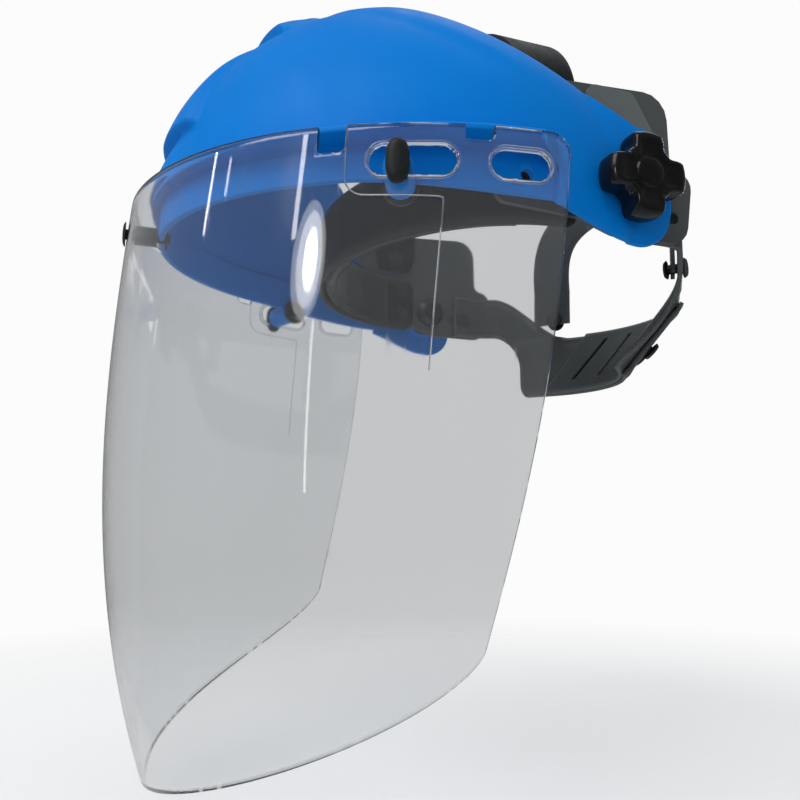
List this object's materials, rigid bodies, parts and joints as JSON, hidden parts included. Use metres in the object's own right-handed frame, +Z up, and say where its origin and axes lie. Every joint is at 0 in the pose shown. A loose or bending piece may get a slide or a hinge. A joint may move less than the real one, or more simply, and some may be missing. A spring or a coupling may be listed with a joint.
{
  "type": "face shield",
  "caption": "Tilt-up face shield: clear curved visor under a domed crown guard, side pivots with lobed knobs, and an adjustable strap headgear with a sweatband.",
  "frame": {"origin": "middle of the tilt axis, half way between the two side pivots, inside the wearer's head at the temples", "axes": "+X to the wearer's left along the tilt axis, -Y to the front where the visor is, +Z up"},
  "size_m": [0.2358, 0.2581, 0.309],
  "materials": {
    "crown_plastic": "semi-gloss, blue",
    "visor_plastic": "polished, clear",
    "black_plastic": "satin, black",
    "gloss_black_plastic": "gloss, black",
    "strap_plastic": "satin, mid grey",
    "bracket_plastic": "satin, light grey",
    "ring_plastic": "satin, dark grey",
    "foam": "cloth over foam",
    "steel": "zinc plated",
    "brass": "turned"
  },
  "bodies": {
    "headgear": {"front_headband": "ring_plastic", "sweatband": "foam", "side_plate_left": "strap_plastic", "side_plate_right": "strap_plastic", "pivot_bracket_left": "bracket_plastic", "pivot_bracket_right": "bracket_plastic", "pivot_bolt_left": "steel", "pivot_bolt_right": "steel", "friction_washer_left": "black_plastic", "friction_washer_right": "black_plastic", "knob_washer_left": "steel", "knob_washer_right": "steel", "headband_rivet_left_1": "steel", "headband_rivet_left_2": "steel", "headband_rivet_right_1": "steel", "headband_rivet_right_2": "steel"},
    "shield": {"crown_guard": "crown_plastic", "visor": "visor_plastic", "centre_stud": "black_plastic", "stud_clip": "black_plastic"},
    "lock_left": {"twist_lock_left": "black_plastic", "lock_clip_left": "black_plastic"},
    "lock_right": {"twist_lock_right": "black_plastic", "lock_clip_right": "black_plastic"},
    "knob_left": {"pivot_knob_left": "gloss_black_plastic", "knob_insert_left": "brass"},
    "knob_right": {"pivot_knob_right": "gloss_black_plastic", "knob_insert_right": "brass"},
    "rear_unit": {"rear_band_left": "strap_plastic", "rear_band_right": "strap_plastic", "occipital_strap": "strap_plastic", "size_peg_left": "black_plastic", "size_peg_right": "black_plastic", "occipital_button_left": "black_plastic", "occipital_button_right": "black_plastic", "band_stud_left": "black_plastic", "band_stud_right": "black_plastic"},
    "overhead_unit": {"overhead_strap_left": "ring_plastic", "overhead_strap_right": "ring_plastic", "overhead_peg_front": "black_plastic", "overhead_peg_rear": "black_plastic", "strap_button_left": "black_plastic", "strap_button_right": "black_plastic"}
  },
  "joints": [
    {"name": "shield_tilt", "type": "hinge", "parent": "headgear", "child": "shield", "pos_m": [0, 0.0015, 0.0035], "axis": [-1, 0, 0], "range_deg": [0, 85]},
    {"name": "lock_turn_left", "type": "hinge", "parent": "shield", "child": "lock_left", "pos_m": [0.10581, -0.08531, -0.0037], "axis": [0.9257, -0.3782, 0], "range_deg": [0, 90]},
    {"name": "lock_turn_right", "type": "hinge", "parent": "shield", "child": "lock_right", "pos_m": [-0.10581, -0.08531, -0.0037], "axis": [-0.9257, -0.3782, 0], "range_deg": [0, 90]},
    {"name": "knob_turn_left", "type": "hinge", "parent": "headgear", "child": "knob_left", "pos_m": [0.1061, 0.0015, 0.0035], "axis": [1, 0, 0], "range_deg": [0, 720]},
    {"name": "knob_turn_right", "type": "hinge", "parent": "headgear", "child": "knob_right", "pos_m": [-0.1061, 0.0015, 0.0035], "axis": [-1, 0, 0], "range_deg": [0, 720]},
    {"name": "rear_size_slide", "type": "slide", "parent": "headgear", "child": "rear_unit", "axis": [0, 1, 0], "range_m": [-0.006, 0.009]},
    {"name": "overhead_height_slide", "type": "slide", "parent": "headgear", "child": "overhead_unit", "axis": [0, 0, 1], "range_m": [-0.005, 0.007]}
  ]
}
